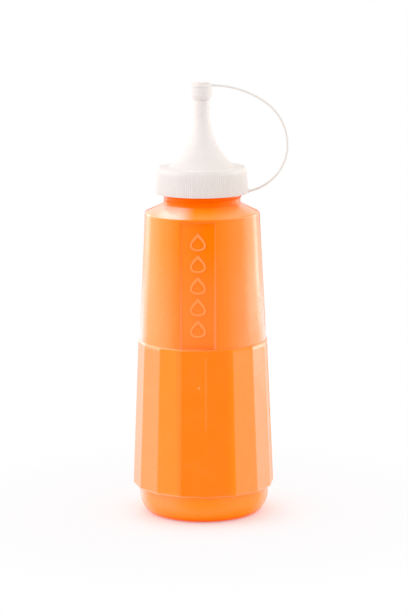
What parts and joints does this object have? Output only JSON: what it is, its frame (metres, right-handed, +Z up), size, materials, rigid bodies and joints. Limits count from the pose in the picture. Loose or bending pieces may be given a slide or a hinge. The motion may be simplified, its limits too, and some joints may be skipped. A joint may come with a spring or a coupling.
{
  "type": "chili sauce squeeze bottle",
  "caption": "Faceted squeeze bottle of chili sauce with a recessed label panel, a ribbed nozzle cap and a small tip cap on a strap.",
  "frame": {"origin": "on the bottle's axis, at the plane it stands on", "axes": "+Z up along the bottle's axis, -Y out of the middle of the label panel, +X towards the strap of the tip cap"},
  "size_m": [0.0715, 0.0642, 0.1984],
  "materials": {
    "bottle_plastic": "satin, translucent orange",
    "chili_sauce": "wet",
    "cap_plastic": "satin white"
  },
  "bodies": {
    "root": {"bottle": "bottle_plastic", "sauce": "chili_sauce", "nozzle_cap": "cap_plastic", "tip_cap": "cap_plastic"}
  },
  "joints": []
}
